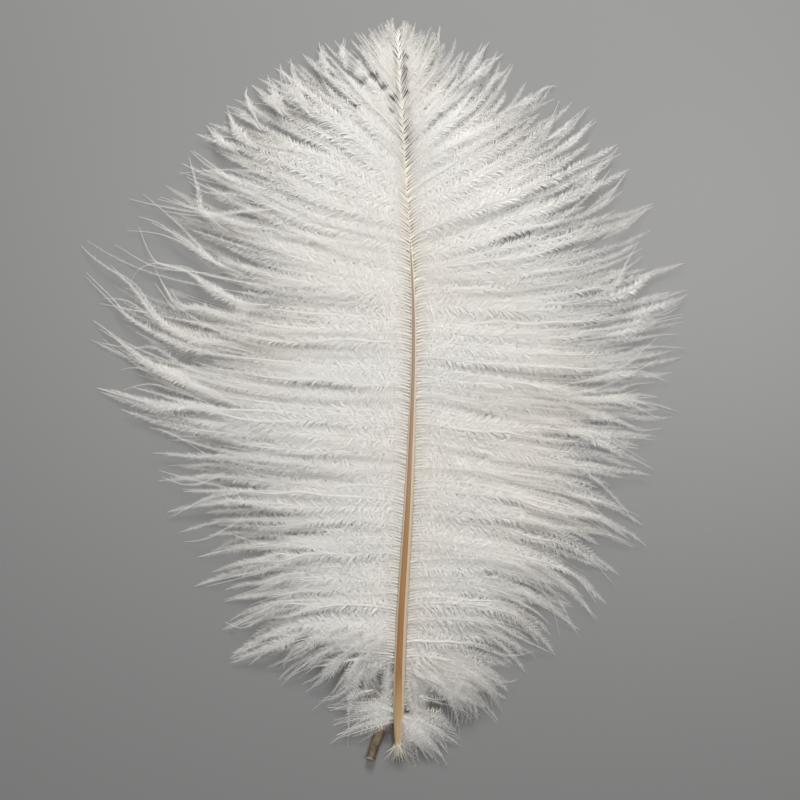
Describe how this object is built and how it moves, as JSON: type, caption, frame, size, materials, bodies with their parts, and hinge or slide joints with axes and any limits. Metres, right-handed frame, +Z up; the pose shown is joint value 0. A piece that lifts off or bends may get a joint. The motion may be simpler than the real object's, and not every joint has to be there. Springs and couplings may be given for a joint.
{
  "type": "ostrich feather",
  "caption": "White ostrich plume lying flat: a tapering amber shaft with a full soft vane on each side, whose barbs gather into long pointed locks.",
  "frame": {"origin": "bottom centre of the feather's box, on the surface that it lies on", "axes": "+Y along the feather from the quill's root to the tip, +Z up, away from the surface, +X to the right vane seen from above with the tip ahead"},
  "size_m": [0.2432, 0.3, 0.0137],
  "materials": {
    "plume": "soft matt white keratin barbs, faintly warm, with a slight silky sheen",
    "shaft": "smooth amber horn with cream shoulders, satin",
    "root": "dry grey-brown horn, dull, with a pale cut end"
  },
  "bodies": {
    "root": {"ostrich_feather": "plume"}
  },
  "joints": []
}
